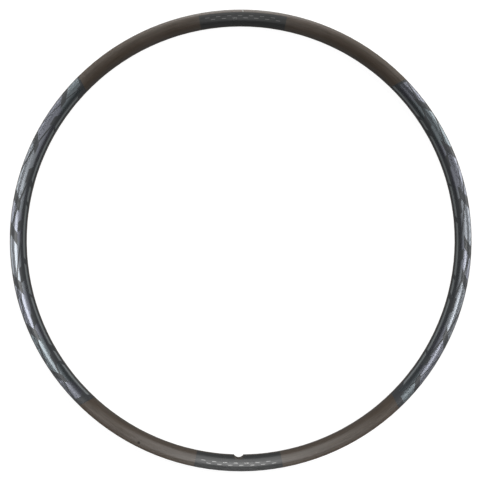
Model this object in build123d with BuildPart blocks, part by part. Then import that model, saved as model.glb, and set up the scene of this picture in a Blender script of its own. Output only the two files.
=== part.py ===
"""Moulded carbon bicycle rim, 29 inch, for disc brakes, with its four printed side films.

The rim lies flat: its axle line is Z, the film side is up and the valve hole is toward -Y.
"""

import os

from build123d import *

# Sizes that the wheel standard sets
bead_seat_diameter = 622.0
inner_width = 34.0
spoke_count = 32
valve_angle = -90.0

# Outside of the section
rim_depth = 21.0
flange_height = 6.5
flange_thickness = 3.2
lip_height = 3.5
lip_taper = 0.9
tip_round = 0.8
land_width = 1.0
shoulder_round = 6.0

# Tyre bed between the flanges
well_depth = 3.5
well_width = 15.0
well_round = 2.0
shelf_width = 5.0
hump_height = 0.5
hump_width = 1.6
hump_round = 0.8
bead_corner_round = 1.0

# Walls round the hollow
side_thickness = 1.4
crown_thickness = 2.5
bed_thickness = 1.2
hollow_corner_round = 0.8

# Drilling and the valve relief
spoke_hole_diameter = 4.5
access_hole_diameter = 8.5
valve_hole_diameter = 6.5
valve_relief_radius = 6.7
valve_relief_depth = 5.2

# Printed films
film_thickness = 0.2
film_glue = 0.3
film_tip_gap = 0.8
film_lip_gap = 0.3
film_crown_gap = 6.0
film_relief_gap = 0.6
side_film_arc = 91.0
side_film_slant = 18.0
side_film_trim = 2.0
right_film_angle = -0.4
left_film_angle = 180.9
short_film_arc = 22.3

# Places that follow from the sizes
seat_radius = bead_seat_diameter / 2
tip_radius = seat_radius + flange_height
crown_radius = tip_radius - rim_depth
lip_radius = tip_radius - lip_height
belly_radius = lip_radius - land_width
belly_depth = belly_radius - crown_radius
half_inner = inner_width / 2
half_width = half_inner + flange_thickness
well_radius = seat_radius - well_depth
hump_place = half_inner - shelf_width
hollow_floor = crown_radius + crown_thickness
hollow_roof = well_radius - bed_thickness
shelf_underside = seat_radius - bed_thickness
hollow_middle = (hollow_floor + hollow_roof) / 2
relief_place = crown_radius + valve_relief_depth - valve_relief_radius
first_spoke_angle = valve_angle + 180 / spoke_count
side_film_radius = tip_radius - film_tip_gap
short_film_radius = lip_radius - film_lip_gap


def belly(half, depth, shoulder):
    """Rounded box of the section below the land: shoulder arcs that run smoothly into a wider crown arc."""
    crown_round = (half**2 + depth**2 - 2 * half * shoulder) / (2 * (depth - shoulder))
    crown_centre = Vector(belly_radius - depth + crown_round, 0)
    to_shoulder = Vector(belly_radius, half - shoulder) - crown_centre
    meeting = crown_centre + to_shoulder.normalized() * crown_round
    with BuildSketch() as face:
        with BuildLine():
            top = Line((belly_radius, 0), (belly_radius, half))
            side = TangentArc(top @ 1, meeting, tangent=(-1, 0))
            TangentArc(meeting, (belly_radius - depth, 0), tangent=side % 1)
            mirror(about=Plane.XZ)
        make_face()
    return face.sketch


def outline(stand_off):
    """Outside of the section, straight across the flange tips, standing off the moulded sides."""
    with BuildSketch() as face:
        add(belly(half_width + stand_off, belly_depth + stand_off, shoulder_round + stand_off))
        with BuildLine():
            tip = Line((tip_radius, 0), (tip_radius, half_width - lip_taper + stand_off))
            land = Line((lip_radius, half_width + stand_off), (belly_radius, half_width + stand_off))
            TangentArc(land @ 0, tip @ 1, tangent=(1, 0))
            Line(land @ 1, (belly_radius, 0))
            mirror(about=Plane.XZ)
        make_face()
    return face.sketch


def film_section(outer_radius):
    """Section of a film on the side of the hoop, from an outer radius to short of the spoke holes."""
    with BuildSketch() as face:
        add(outline(film_glue + film_thickness))
        add(outline(film_glue), mode=Mode.SUBTRACT)
        with Locations((outer_radius, film_crown_gap)):
            Rectangle(rim_depth, half_width, align=(Align.MAX, Align.MIN), mode=Mode.INTERSECT)
    return face.sketch


# Hollow of the box: inside the sides and crown, roofed by the underside of the tyre bed
with BuildPart() as hollow:
    with BuildSketch(Plane.XZ) as hollow_section:
        add(belly(half_width - side_thickness, belly_radius - hollow_floor, shoulder_round - side_thickness))
        with BuildLine():
            Polyline(
                (crown_radius, 0),
                (crown_radius, half_width),
                (shelf_underside, half_width),
                (shelf_underside, hump_place + bed_thickness / 2),
                (hollow_roof, (well_width + bed_thickness) / 2),
                (hollow_roof, 0),
            )
            mirror(about=Plane.XZ)
        make_face(mode=Mode.INTERSECT)
        corners = hollow_section.vertices().sort_by(Axis.Y)
        fillet([corners[0], corners[-1]], hollow_corner_round)
    revolve(axis=Axis.Z)
    # the wall keeps the crown's thickness behind the valve relief
    with PolarLocations(relief_place, 1, start_angle=valve_angle):
        Cylinder(valve_relief_radius + crown_thickness, 2 * half_width, mode=Mode.SUBTRACT)

# The hoop, moulded in one piece and drilled
with BuildPart() as rim:
    with BuildSketch(Plane.XZ) as section:
        add(outline(0))
        with BuildLine():
            FilletPolyline(
                (well_radius, 0),
                (well_radius, well_width / 2),
                (seat_radius + hump_height, hump_place),
                (seat_radius, hump_place + hump_width),
                (seat_radius, half_inner),
                (tip_radius + flange_height, half_inner),
                (tip_radius + flange_height, 0),
                radius=(well_round, hump_round, hump_round, bead_corner_round, 0),
            )
            mirror(about=Plane.XZ)
        make_face(mode=Mode.SUBTRACT)
        fillet(section.vertices().group_by(Axis.X)[-1], tip_round)
    revolve(axis=Axis.Z)
    add(hollow.part, mode=Mode.SUBTRACT)

    # a spoke hole in the crown faces a wider hole in the tyre bed that lets the nipple in
    with PolarLocations(hollow_middle, spoke_count, start_angle=first_spoke_angle):
        Cylinder(
            spoke_hole_diameter / 2,
            rim_depth,
            rotation=(0, 90, 0),
            align=(Align.CENTER, Align.CENTER, Align.MAX),
            mode=Mode.SUBTRACT,
        )
        Cylinder(
            access_hole_diameter / 2,
            rim_depth,
            rotation=(0, 90, 0),
            align=(Align.CENTER, Align.CENTER, Align.MIN),
            mode=Mode.SUBTRACT,
        )

    # the valve hole goes through both walls from the floor of a half-round relief across the crown
    with PolarLocations(relief_place, 1, start_angle=valve_angle):
        Cylinder(valve_relief_radius, 2 * half_width, mode=Mode.SUBTRACT)
        Cylinder(valve_hole_diameter / 2, 2 * rim_depth, rotation=(0, 90, 0), mode=Mode.SUBTRACT)

# Long film on the right, up to just below the flange tip, its ends cut on the slant
with BuildPart() as decal_right:
    with BuildSketch(Plane.XZ.rotated((0, 0, right_film_angle - side_film_arc / 2 - side_film_trim))):
        add(film_section(side_film_radius))
    revolve(axis=Axis.Z, revolution_arc=side_film_arc + 2 * side_film_trim)
    for end_turn, waste_side in ((-side_film_arc / 2, Align.MAX), (side_film_arc / 2, Align.MIN)):
        with PolarLocations(belly_radius, 1, start_angle=right_film_angle + end_turn):
            Box(
                2 * rim_depth,
                2 * rim_depth,
                4 * half_width,
                rotation=(0, 0, -side_film_slant),
                align=(Align.CENTER, waste_side, Align.CENTER),
                mode=Mode.SUBTRACT,
            )

# The same film on the other half of the hoop, stuck on a little past the half turn
with BuildPart() as decal_left:
    with Locations(Rotation(0, 0, left_film_angle - right_film_angle)):
        add(decal_right.part)

# Short film opposite the valve, inside the lip
with BuildPart() as decal_top:
    with BuildSketch(Plane.XZ.rotated((0, 0, valve_angle + 180 - short_film_arc / 2))):
        add(film_section(short_film_radius))
    revolve(axis=Axis.Z, revolution_arc=short_film_arc)

# Short film at the valve, cut clear of the relief
with BuildPart() as decal_bottom:
    with BuildSketch(Plane.XZ.rotated((0, 0, valve_angle - short_film_arc / 2))):
        add(film_section(short_film_radius))
    revolve(axis=Axis.Z, revolution_arc=short_film_arc)
    with PolarLocations(relief_place, 1, start_angle=valve_angle):
        Cylinder(valve_relief_radius + film_relief_gap, 4 * half_width, mode=Mode.SUBTRACT)

rim.part.label = "rim"
decal_right.part.label = "decal_right"
decal_left.part.label = "decal_left"
decal_top.part.label = "decal_top"
decal_bottom.part.label = "decal_bottom"

os.makedirs("parts", exist_ok=True)
export_step(rim.part, "parts/rim.step")
export_step(decal_right.part, "parts/decal_right.step")
export_step(decal_left.part, "parts/decal_left.step")
export_step(decal_top.part, "parts/decal_top.step")
export_step(decal_bottom.part, "parts/decal_bottom.step")
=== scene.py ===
import math

import bpy
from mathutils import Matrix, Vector


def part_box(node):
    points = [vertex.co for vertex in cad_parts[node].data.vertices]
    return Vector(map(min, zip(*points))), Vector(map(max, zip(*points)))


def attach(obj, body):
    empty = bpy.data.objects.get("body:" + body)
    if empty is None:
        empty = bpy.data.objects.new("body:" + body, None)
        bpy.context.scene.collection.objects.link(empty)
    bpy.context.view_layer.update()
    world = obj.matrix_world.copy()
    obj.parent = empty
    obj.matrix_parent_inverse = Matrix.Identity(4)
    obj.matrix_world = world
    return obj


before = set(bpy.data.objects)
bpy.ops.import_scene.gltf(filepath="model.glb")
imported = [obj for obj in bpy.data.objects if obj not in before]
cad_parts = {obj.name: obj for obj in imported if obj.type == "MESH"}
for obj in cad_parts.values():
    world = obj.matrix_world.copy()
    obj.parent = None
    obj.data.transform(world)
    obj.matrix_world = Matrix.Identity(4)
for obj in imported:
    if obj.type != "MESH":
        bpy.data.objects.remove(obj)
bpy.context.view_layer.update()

# The hoop: one hollow carbon fibre moulding, laid up by hand round a bladder and cured in a steel mould.
# It comes out of the mould matte and brown-black, with fibres that run round the hoop just under the skin,
# and it is then drilled from both sides for the valve and the spokes. Its lip is painted paler all round,
# a painted highlight of the light that the edge catches.
rim = bpy.data.objects["rim"]
rim_low, rim_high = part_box("rim")
half_width = rim_high[2]
lip_foot = 0.3139
# painted highlight on the lip: how far it reaches round the lip foot and how strongly it pales the carbon
lip_highlight_reach = (lip_foot - 0.0008, lip_foot + 0.0020)
lip_highlight_strength = 0.40

carbon_brown = (0.077, 0.0585, 0.0440)
carbon_dark = (0.0375, 0.0295, 0.0220)
carbon_clouded = (0.079, 0.066, 0.055)
# paler carbon colour of the painted highlight on the lip
carbon_lip_highlight = (0.112, 0.090, 0.071)
carbon_dust = (0.16, 0.15, 0.14)
carbon_dust_strength = 0.35
carbon_roughness = (0.28, 0.36)
fibre_contrast = (0.32, 0.68)
fibre_relief = 0.14
fibre_height = 0.0002
cloud_contrast = (0.35, 0.70)
cloud_strength = 0.35

chip_place = (-0.1371, -0.2791, half_width)
chip_size = 0.0027
chip_shade = (0.014, 0.010, 0.006)
chip_roughness = 0.4
fleck_place = (0.0001, 0.3153, half_width - 0.0001)
fleck_size = 0.0013
fleck_shade = (0.24, 0.235, 0.225)

valve_film_grey = (0.039, 0.040, 0.040)
valve_film_edge = 0.3137
valve_film_arc = 22.3
valve_film_half_arc = math.radians(valve_film_arc / 2)


def add_node(tree, kind, place, **settings):
    """A node at a place on the node sheet, with its settings."""
    node = tree.nodes.new(kind)
    node.location = place
    for name, value in settings.items():
        setattr(node, name, value)
    return node


def math_step(tree, operation, place, first, second=None, third=None):
    """One step of reckoning with plain numbers or with what other nodes put out."""
    node = add_node(tree, "ShaderNodeMath", place, operation=operation)
    for socket, value in zip(node.inputs, (first, second, third)):
        if value is None:
            continue
        if isinstance(value, (int, float)):
            socket.default_value = value
        else:
            tree.links.new(value, socket)
    return node.outputs[0]


def split_place(tree, place):
    """X, Y and Z of a point of the surface, as the outputs of one node."""
    coords = add_node(tree, "ShaderNodeTexCoord", place)
    split = add_node(tree, "ShaderNodeSeparateXYZ", (place[0] + 200, place[1]))
    tree.links.new(coords.outputs["Object"], split.inputs[0])
    return split.outputs


def group_tree(name, inputs, outputs):
    """An empty node group with named number sockets, and the nodes where it is entered and left."""
    tree = bpy.data.node_groups.new(name, "ShaderNodeTree")
    for label, value in inputs:
        socket = tree.interface.new_socket(label, in_out="INPUT", socket_type="NodeSocketFloat")
        socket.default_value = value
    for label in outputs:
        tree.interface.new_socket(label, in_out="OUTPUT", socket_type="NodeSocketFloat")
    entry = add_node(tree, "NodeGroupInput", (-1400, 0))
    leave = add_node(tree, "NodeGroupOutput", (900, 0))
    return tree, entry, leave


# place on the hoop: the turn from the X line on its nearer side, the swing from the Y line on its nearer
# side and the distance from the axle, with a grain that is drawn out round the hoop
hoop_place, entry, leave = group_tree(
    "hoop_place",
    [("Along", 40.0), ("Across", 1500.0)],
    ["Turn", "Swing", "Radius", "Grain"],
)
point = split_place(hoop_place, (-1400, 300))
side = math_step(hoop_place, "SIGN", (-1000, 500), point["X"])
turned_y = math_step(hoop_place, "MULTIPLY", (-800, 500), point["Y"], side)
turned_x = math_step(hoop_place, "MULTIPLY", (-800, 350), point["X"], side)
turn = math_step(hoop_place, "ARCTAN2", (-600, 450), turned_y, turned_x)
half = math_step(hoop_place, "SIGN", (-1000, 800), point["Y"])
swung_x = math_step(hoop_place, "MULTIPLY", (-800, 800), point["X"], half)
swung_y = math_step(hoop_place, "MULTIPLY", (-800, 650), point["Y"], half)
swing = math_step(hoop_place, "ARCTAN2", (-600, 700), swung_x, swung_y)
square_x = math_step(hoop_place, "MULTIPLY", (-1000, 150), point["X"], point["X"])
square_sum = math_step(hoop_place, "MULTIPLY_ADD", (-800, 150), point["Y"], point["Y"], square_x)
radius = math_step(hoop_place, "SQRT", (-600, 150), square_sum)
east = math_step(hoop_place, "DIVIDE", (-400, 300), point["X"], radius)
north = math_step(hoop_place, "DIVIDE", (-400, 150), point["Y"], radius)
far_east = math_step(hoop_place, "MULTIPLY", (-200, 300), east, entry.outputs["Along"])
far_north = math_step(hoop_place, "MULTIPLY", (-200, 150), north, entry.outputs["Along"])
far_out = math_step(hoop_place, "MULTIPLY", (-200, 0), radius, entry.outputs["Across"])
far_up = math_step(hoop_place, "MULTIPLY", (-200, -150), point["Z"], entry.outputs["Across"])
drawn = add_node(hoop_place, "ShaderNodeCombineXYZ", (0, 150))
for socket, value in zip(drawn.inputs, (far_east, far_north, far_out)):
    hoop_place.links.new(value, socket)
grain = add_node(hoop_place, "ShaderNodeTexNoise", (200, 100), noise_dimensions="4D")
grain.inputs["Scale"].default_value = 1.0
grain.inputs["Detail"].default_value = 4.0
grain.inputs["Roughness"].default_value = 0.6
hoop_place.links.new(drawn.outputs[0], grain.inputs["Vector"])
hoop_place.links.new(far_up, grain.inputs["W"])
hoop_place.links.new(turn, leave.inputs["Turn"])
hoop_place.links.new(swing, leave.inputs["Swing"])
hoop_place.links.new(radius, leave.inputs["Radius"])
hoop_place.links.new(grain.outputs[0], leave.inputs["Grain"])

# dust and rubbing marks from handling: small pale specks and broader faint smears
speck_largest = 0.16
speck_sharpness = 14.0
handling, entry, leave = group_tree(
    "handling_marks",
    [("Speck Scale", 240.0), ("Smear Scale", 22.0)],
    ["Specks", "Smears"],
)
coords = add_node(handling, "ShaderNodeTexCoord", (-1400, 300))
specks = add_node(handling, "ShaderNodeTexVoronoi", (-900, 300))
handling.links.new(coords.outputs["Object"], specks.inputs["Vector"])
handling.links.new(entry.outputs["Speck Scale"], specks.inputs["Scale"])
speck_size = math_step(handling, "MULTIPLY", (-650, 450), specks.outputs["Color"], speck_largest)
speck_edge = math_step(handling, "SUBTRACT", (-450, 400), speck_size, specks.outputs["Distance"])
speck_mask = math_step(handling, "MULTIPLY", (-250, 400), speck_edge, speck_sharpness)
speck_mask = math_step(handling, "MAXIMUM", (-50, 400), speck_mask, 0.0)
speck_mask = math_step(handling, "MINIMUM", (150, 400), speck_mask, 1.0)
smear = add_node(handling, "ShaderNodeTexNoise", (-900, -100))
smear.inputs["Detail"].default_value = 2.0
smear.inputs["Distortion"].default_value = 0.6
handling.links.new(coords.outputs["Object"], smear.inputs["Vector"])
handling.links.new(entry.outputs["Smear Scale"], smear.inputs["Scale"])
handling.links.new(speck_mask, leave.inputs["Specks"])
handling.links.new(smear.outputs[0], leave.inputs["Smears"])


def new_finish(name, shader_place):
    """A material, with its node tree and its shader."""
    finish = bpy.data.materials.new(name)
    finish.use_nodes = True
    tree = finish.node_tree
    shader = tree.nodes["Principled BSDF"]
    shader.location = shader_place
    tree.nodes["Material Output"].location = (shader_place[0] + 300, shader_place[1])
    return finish, tree, shader


def use_group(tree, group, place, **values):
    """A node group placed in a material with that material's own values."""
    node = add_node(tree, "ShaderNodeGroup", place)
    node.node_tree = group
    for label, value in values.items():
        node.inputs[label.replace("_", " ")].default_value = value
    return node


def mix_colour(tree, place, mask, under, over):
    """One colour laid over another where a mask lets it show."""
    node = add_node(tree, "ShaderNodeMix", place, data_type="RGBA")
    tree.links.new(mask, node.inputs["Factor"])
    # the node keeps its two colours, and their mix, after its sockets for numbers and vectors
    for socket, value in zip(node.inputs[6:8], (under, over)):
        if isinstance(value, tuple):
            socket.default_value = (*value, 1.0)
        else:
            tree.links.new(value, socket)
    return node.outputs[2]


def spread(tree, place, value, source, target):
    """Value spread from one range, low to high, to another, and held at the ends."""
    node = add_node(tree, "ShaderNodeMapRange", place)
    tree.links.new(value, node.inputs["Value"])
    node.inputs["From Min"].default_value = source[0]
    node.inputs["From Max"].default_value = source[1]
    node.inputs["To Min"].default_value = target[0]
    node.inputs["To Max"].default_value = target[1]
    return node.outputs["Result"]


def spot(tree, place, at, size):
    """Mask of a small ragged spot at a point of the surface."""
    ragged_waves = 1.2
    full_reach = 1.15
    faded_reach = 1.45
    across, up = place
    coords = add_node(tree, "ShaderNodeTexCoord", place)
    away = add_node(tree, "ShaderNodeVectorMath", (across + 200, up), operation="DISTANCE")
    away.inputs[1].default_value = at
    tree.links.new(coords.outputs["Object"], away.inputs[0])
    ragged = add_node(tree, "ShaderNodeTexNoise", (across + 200, up - 200))
    ragged.inputs["Scale"].default_value = ragged_waves / size
    tree.links.new(coords.outputs["Object"], ragged.inputs["Vector"])
    raised = math_step(tree, "MULTIPLY", (across + 400, up - 200), ragged.outputs[0], size)
    reach = math_step(tree, "ADD", (across + 600, up), raised, away.outputs["Value"])
    return spread(tree, (across + 800, up), reach, (size * full_reach, size * faded_reach), (1.0, 0.0))


smear_contrast = (0.3, 0.7)
carbon, tree, shader = new_finish("moulded_carbon", (1100, 200))
hoop = use_group(tree, hoop_place, (-900, 300), Along=14.0, Across=1400.0)
marks = use_group(tree, handling, (-900, -100), Speck_Scale=210.0, Smear_Scale=14.0)
fibre = spread(tree, (-600, 300), hoop.outputs["Grain"], fibre_contrast, (0.0, 1.0))
skin = mix_colour(tree, (-350, 300), fibre, carbon_dark, carbon_brown)
cloud = spread(tree, (-600, 50), marks.outputs["Smears"], cloud_contrast, (0.0, cloud_strength))
skin = mix_colour(tree, (-150, 300), cloud, skin, carbon_clouded)
# painted highlight: the lip is painted paler all round
painted_lip_highlight = spread(tree, (-600, -100), hoop.outputs["Radius"], lip_highlight_reach, (0.0, lip_highlight_strength))
skin = mix_colour(tree, (0, 450), painted_lip_highlight, skin, carbon_lip_highlight)
chip = spot(tree, (-1500, -500), chip_place, chip_size)
skin = mix_colour(tree, (150, 300), chip, skin, chip_shade)
fleck = spot(tree, (-1500, -1000), fleck_place, fleck_size)
skin = mix_colour(tree, (400, 300), fleck, skin, fleck_shade)
# the short film at the valve runs on over the lip, where it lies as a thin skin on the moulding
point = split_place(tree, (-1500, 700))
on_valve_side = math_step(tree, "LESS_THAN", (-1100, 800), point["Y"], 0.0)
on_top_side = math_step(tree, "GREATER_THAN", (-1100, 650), point["Z"], 0.0)
on_lip = math_step(tree, "GREATER_THAN", (-700, 600), hoop.outputs["Radius"], valve_film_edge)
off_valve = math_step(tree, "ABSOLUTE", (-700, 750), hoop.outputs["Swing"])
in_film = math_step(tree, "LESS_THAN", (-500, 750), off_valve, valve_film_half_arc)
skin_side = math_step(tree, "MULTIPLY", (-500, 900), on_valve_side, on_top_side)
skin_area = math_step(tree, "MULTIPLY", (-300, 700), on_lip, in_film)
film_skin = math_step(tree, "MULTIPLY", (-100, 750), skin_side, skin_area)
skin = mix_colour(tree, (600, 300), film_skin, skin, valve_film_grey)
dust = math_step(tree, "MULTIPLY", (-350, -150), marks.outputs["Specks"], carbon_dust_strength)
skin = mix_colour(tree, (850, 300), dust, skin, carbon_dust)
tree.links.new(skin, shader.inputs["Base Color"])
matte = spread(tree, (-350, 50), marks.outputs["Smears"], smear_contrast, carbon_roughness)
matte = math_step(tree, "MULTIPLY_ADD", (250, 50), chip, chip_roughness, matte)
tree.links.new(matte, shader.inputs["Roughness"])
lay = add_node(tree, "ShaderNodeBump", (300, -200))
lay.inputs["Strength"].default_value = fibre_relief
lay.inputs["Distance"].default_value = fibre_height
tree.links.new(hoop.outputs["Grain"], lay.inputs["Height"])
tree.links.new(lay.outputs["Normal"], shader.inputs["Normal"])

rim.data.materials.clear()
rim.data.materials.append(carbon)
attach(rim, "root")

# The two long side films: thin polyester, die cut with slanted ends and stuck on by hand, one on each
# half of the hoop. On a satin near-black ground, two rows of long slanted blocks are printed in three
# pewter inks with metal flake, parted by long thin slits. Under them a fine pale grey line, broken in
# dashes along the lower edge, is a painted reflection of the pale floor in the glossy film.
film_arc = 91.0
film_middle = 0.307
film_ground = (0.0400, 0.0428, 0.0455)
film_dust = (0.20, 0.20, 0.20)
film_dust_strength = 0.25
printed_roughness = (0.235, 0.285)
lip_dulling = 0.10
ink_teal = (0.182, 0.208, 0.222)
ink_violet = (0.196, 0.204, 0.236)
ink_pale = (0.207, 0.222, 0.240)
ink_metal = 0.90
# grey of the painted reflection line low on the film
painted_reflection_grey = (0.140, 0.152, 0.155)

# heights and radii that bound the print and the painted reflection line, and the slants of its lines
# across the film
reflection_line_low = 0.0090
reflection_line_high = 0.0124
ink_margin_height = 0.0134
row_split = 0.3070
end_slant = math.tan(math.radians(18))
outer_slant = math.tan(math.radians(60))
inner_slant = -math.tan(math.radians(40))
slit_slant = -math.tan(math.radians(80))

# starts and ends of what is printed and of the dashes of the painted reflection line, in degrees along a
# film, and how far past its ends the rows may lead
print_lead = 4.0
outer_blocks = (
    (-2.5, 7.4), (9.6, 20.4), (23.4, 36.2), (38.6, 44.0),
    (47.4, 56.8), (60.0, 69.6), (72.6, 82.8), (85.4, 94.5),
)
inner_blocks = (
    (3.0, 12.0), (14.8, 27.2), (31.0, 41.0), (43.6, 53.0),
    (57.0, 65.4), (68.6, 77.0), (80.2, 90.0),
)
slits = (
    (4.6, 5.8), (16.6, 18.6), (33.0, 35.2), (50.0, 51.8),
    (55.2, 56.6), (66.8, 68.8), (79.2, 81.2),
)
reflection_line_dashes = (
    (2.0, 12.0), (13.0, 27.5), (29.2, 33.0), (34.2, 48.0),
    (49.6, 57.5), (58.6, 72.0), (73.8, 77.0), (78.0, 88.5),
)
inside_ends = ((1.5, 90.2),)
violet_blocks = ((9.0, 22.0), (38.0, 45.6), (58.4, 71.0), (84.2, 94.5))
pale_blocks = ((22.0, 37.8), (46.0, 58.4))

printed, tree, shader = new_finish("printed_side_film", (550, 200))
hoop = use_group(tree, hoop_place, (-1700, 300), Along=30.0, Across=900.0)
marks = use_group(tree, handling, (-1700, -100), Speck_Scale=230.0, Smear_Scale=18.0)
point = split_place(tree, (-1700, -400))
out_from_middle = math_step(tree, "SUBTRACT", (-1450, 200), hoop.outputs["Radius"], film_middle)
half_reach = math.radians(film_arc / 2 + print_lead)


def along_on_slant(place, slant):
    """Place along the print's reach, 0 to 1, read on lines that cross the film at a slant."""
    turn = hoop.outputs["Turn"]
    leaning = math_step(tree, "MULTIPLY_ADD", place, out_from_middle, slant / film_middle, turn)
    return spread(tree, (place[0] + 200, place[1]), leaning, (-half_reach, half_reach), (0.0, 1.0))


def row_of_blocks(place, along, blocks):
    """Mask of the blocks of one row, which a ramp along the film turns on and off."""
    bare = (0, 0, 0, 1)
    inked = (1, 1, 1, 1)
    ramp_length = film_arc + 2 * print_lead
    last_end = blocks[-1][1]
    row = add_node(tree, "ShaderNodeValToRGB", place)
    row.color_ramp.interpolation = "CONSTANT"
    stops = row.color_ramp.elements
    stops[0].position = 0.0
    stops[0].color = bare
    stops[1].position = (last_end + print_lead) / ramp_length
    stops[1].color = bare
    for start, end in blocks:
        stops.new((start + print_lead) / ramp_length).color = inked
        if end < last_end:
            stops.new((end + print_lead) / ramp_length).color = bare
    tree.links.new(along, row.inputs["Fac"])
    return row.outputs["Color"]


on_outer = along_on_slant((-1250, 300), outer_slant)
on_inner = along_on_slant((-1250, 500), inner_slant)
on_slits = along_on_slant((-1250, 700), slit_slant)
on_ends = along_on_slant((-1250, 900), end_slant)
end_mask = row_of_blocks((-600, 1100), on_ends, inside_ends)
slit_mask = row_of_blocks((-600, 850), on_slits, slits)
outer_mask = row_of_blocks((-600, 350), on_outer, outer_blocks)
inner_mask = row_of_blocks((-600, 100), on_inner, inner_blocks)
violet_mask = row_of_blocks((-600, -150), on_outer, violet_blocks)
pale_mask = row_of_blocks((-600, -400), on_outer, pale_blocks)
reflection_dash_mask = row_of_blocks((-600, -650), on_outer, reflection_line_dashes)

in_outer = math_step(tree, "GREATER_THAN", (-1250, 0), hoop.outputs["Radius"], row_split)
print_mask = mix_colour(tree, (-300, 450), in_outer, inner_mask, outer_mask)
off_slits = math_step(tree, "SUBTRACT", (-300, 700), 1.0, slit_mask)
print_mask = math_step(tree, "MULTIPLY", (-100, 600), print_mask, off_slits)
print_mask = math_step(tree, "MULTIPLY", (50, 800), print_mask, end_mask)
off_margin = math_step(tree, "GREATER_THAN", (-1250, -400), point["Z"], ink_margin_height)
print_mask = math_step(tree, "MULTIPLY", (200, 600), print_mask, off_margin)
ink = mix_colour(tree, (-300, 200), violet_mask, ink_teal, ink_violet)
ink = mix_colour(tree, (-100, 200), pale_mask, ink, ink_pale)
shade = mix_colour(tree, (100, 300), print_mask, film_ground, ink)

# painted reflection: a pale grey line, broken in dashes, low on the film
above_edge = math_step(tree, "GREATER_THAN", (-1250, -550), point["Z"], reflection_line_low)
below_rows = math_step(tree, "LESS_THAN", (-1250, -700), point["Z"], reflection_line_high)
on_reflection_line = math_step(tree, "MULTIPLY", (-1050, -600), above_edge, below_rows)
painted_reflection_line = math_step(tree, "MULTIPLY", (-300, -500), on_reflection_line, reflection_dash_mask)
shade = mix_colour(tree, (200, 450), painted_reflection_line, shade, painted_reflection_grey)
dust = math_step(tree, "MULTIPLY", (-300, -250), marks.outputs["Specks"], film_dust_strength)
shade = mix_colour(tree, (300, 300), dust, shade, film_dust)
tree.links.new(shade, shader.inputs["Base Color"])

satin = spread(tree, (100, 0), marks.outputs["Smears"], smear_contrast, printed_roughness)
on_lip = math_step(tree, "GREATER_THAN", (-1050, -250), hoop.outputs["Radius"], lip_foot)
satin = math_step(tree, "MULTIPLY_ADD", (300, 0), on_lip, lip_dulling, satin)
tree.links.new(satin, shader.inputs["Roughness"])
flake = math_step(tree, "MULTIPLY", (100, 150), print_mask, ink_metal)
tree.links.new(flake, shader.inputs["Metallic"])

for name in ("decal_right", "decal_left"):
    film = bpy.data.objects[name]
    film.data.materials.clear()
    film.data.materials.append(printed)
    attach(film, "root")

# The two short films, at the valve and across from it: the same satin film in dark grey, with two
# staggered rows of fine dashes printed along its middle in a thin pewter ink. The one at the valve is cut
# out round the relief.
short_ground = (0.025, 0.026, 0.026)
short_roughness = (0.26, 0.32)
dash_ink = (0.142, 0.142, 0.140)
dash_metal = 0.85
rows_radius = 0.3077
rows_length = 0.105
row_spacing = 0.0030
dash_pitch = 0.0150
dash_length = 0.0058
dash_width = 0.0010

dark_film, tree, shader = new_finish("short_dark_film", (550, 200))
hoop = use_group(tree, hoop_place, (-1700, 100), Along=30.0, Across=900.0)
marks = use_group(tree, handling, (-1700, -300), Speck_Scale=230.0, Smear_Scale=18.0)
along_rows = math_step(tree, "MULTIPLY", (-1450, 300), hoop.outputs["Swing"], rows_radius)
out_of_rows = math_step(tree, "SUBTRACT", (-1450, 50), hoop.outputs["Radius"], rows_radius)
which_row = math_step(tree, "SIGN", (-1250, 150), out_of_rows)
staggered = math_step(tree, "MULTIPLY_ADD", (-1050, 150), which_row, dash_pitch / 4, along_rows)
beat = math_step(tree, "PINGPONG", (-850, 150), staggered, dash_pitch / 2)
in_dash = math_step(tree, "LESS_THAN", (-650, 150), beat, dash_length / 2)
off_rows = math_step(tree, "ABSOLUTE", (-1250, 0), out_of_rows)
off_line = math_step(tree, "SUBTRACT", (-1050, 0), off_rows, row_spacing / 2)
on_line = math_step(tree, "COMPARE", (-850, 0), off_line, 0.0, dash_width / 2)
off_centre = math_step(tree, "ABSOLUTE", (-1250, 300), along_rows)
in_length = math_step(tree, "LESS_THAN", (-1050, 300), off_centre, rows_length / 2)
in_rows = math_step(tree, "MULTIPLY", (-650, 0), on_line, in_length)
dashes = math_step(tree, "MULTIPLY", (-400, 150), in_dash, in_rows)
shade = mix_colour(tree, (-50, 300), dashes, short_ground, dash_ink)
dust = math_step(tree, "MULTIPLY", (-350, -250), marks.outputs["Specks"], film_dust_strength)
shade = mix_colour(tree, (150, 300), dust, shade, film_dust)
tree.links.new(shade, shader.inputs["Base Color"])
flake = math_step(tree, "MULTIPLY", (150, 50), dashes, dash_metal)
tree.links.new(flake, shader.inputs["Metallic"])
satin = spread(tree, (-50, -50), marks.outputs["Smears"], smear_contrast, short_roughness)
tree.links.new(satin, shader.inputs["Roughness"])

for name in ("decal_top", "decal_bottom"):
    film = bpy.data.objects[name]
    film.data.materials.clear()
    film.data.materials.append(dark_film)
    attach(film, "root")

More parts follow.
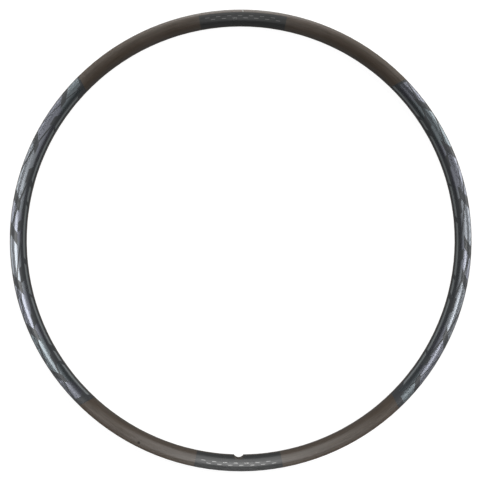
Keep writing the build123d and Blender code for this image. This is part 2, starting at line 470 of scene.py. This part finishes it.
# The floor that the hoop lies on: a plain sheet of white acrylic, which is the stage and not the object.
# To the camera it glows white, as over a lit table, but it throws little light back on the hoop.
floor_level = rim_low[2]
floor_size = 24.0
floor_grey = (0.18, 0.18, 0.18, 1.0)
floor_roughness = 0.8
floor_glow = 0.92
white = (1.0, 1.0, 1.0, 1.0)
bpy.ops.object.select_all(action="DESELECT")
bpy.ops.mesh.primitive_plane_add(size=floor_size, location=(0, 0, floor_level))
floor = bpy.context.object
floor.name = "floor"
bpy.ops.object.transform_apply(location=True, rotation=True, scale=True)
sheet, tree, shader = new_finish("white_acrylic_floor", (0, 0))
shader.inputs["Base Color"].default_value = floor_grey
shader.inputs["Roughness"].default_value = floor_roughness
shader.inputs["Emission Color"].default_value = white
seen = add_node(tree, "ShaderNodeLightPath", (-400, 0))
glow = math_step(tree, "MULTIPLY", (-200, 0), seen.outputs["Is Camera Ray"], floor_glow)
tree.links.new(glow, shader.inputs["Emission Strength"])
floor.data.materials.append(sheet)

# The studio: nine soft panels in a dim room, all turned to the middle of the hoop. Two stand on the far
# side, two on the right, two on the left and two on the valve side, and one hangs overhead. The backdrop
# is white, but only to the camera.
panel_distance = 2.6
room_light = 0.012
backdrop_white = 0.95
scene = bpy.context.scene
scene.view_settings.view_transform = "Standard"
room = bpy.data.worlds.new("room")
scene.world = room
room.use_nodes = True
backdrop = room.node_tree.nodes["Background"]
backdrop.inputs["Color"].default_value = white
seen = add_node(room.node_tree, "ShaderNodeLightPath", (-600, 0))
camera_ray = seen.outputs["Is Camera Ray"]
room_glow = spread(room.node_tree, (-300, 0), camera_ray, (0.0, 1.0), (room_light, backdrop_white))
room.node_tree.links.new(room_glow, backdrop.inputs["Strength"])


def panel(name, compass, tilt, width, height, watts):
    """A soft panel facing the middle of the hoop, at a turn from +Y toward +X and a tilt from overhead."""
    bearing = math.radians(compass)
    lean = math.radians(tilt)
    away = Vector((math.sin(bearing) * math.sin(lean), math.cos(bearing) * math.sin(lean), math.cos(lean)))
    light = bpy.data.lights.new(name, "AREA")
    light.shape = "RECTANGLE"
    light.size = width
    light.size_y = height
    light.energy = watts
    lamp = bpy.data.objects.new(name, light)
    lamp.location = away * panel_distance
    lamp.rotation_euler = away.to_track_quat("Z", "Y").to_euler()
    lamp.visible_camera = False
    bpy.context.collection.objects.link(lamp)


panel("far_high", compass=0, tilt=39, width=1.00, height=1.25, watts=22.7)
panel("far_low", compass=0, tilt=70, width=3.00, height=2.00, watts=47.4)
panel("right_high", compass=78, tilt=32, width=1.08, height=0.68, watts=13.3)
panel("right_wide", compass=90, tilt=48, width=3.00, height=2.00, watts=14.5)
panel("left_high", compass=-75, tilt=29, width=0.90, height=0.42, watts=8.9)
panel("left_wide", compass=-94, tilt=48, width=3.00, height=1.10, watts=7.9)
panel("near_wall", compass=180, tilt=52, width=0.60, height=2.00, watts=7.8)
panel("near_over", compass=180, tilt=17, width=0.95, height=0.40, watts=4.2)
panel("over", compass=0, tilt=8, width=0.60, height=1.20, watts=3.6)

# The camera, high above the middle of the hoop, looks straight down through a long lens. It is turned so
# that the valve is a little left of the bottom.
view_height = 2.4
view_shift_x = -0.00097
view_shift_y = 0.00062
view_roll = math.radians(0.55)
camera_data = bpy.data.cameras.new("camera")
camera_data.sensor_width = 36.0
camera_data.lens = 129.9
camera = bpy.data.objects.new("camera", camera_data)
camera.location = (view_shift_x, view_shift_y, view_height)
camera.rotation_euler = (0, 0, view_roll)
bpy.context.collection.objects.link(camera)
scene.camera = camera
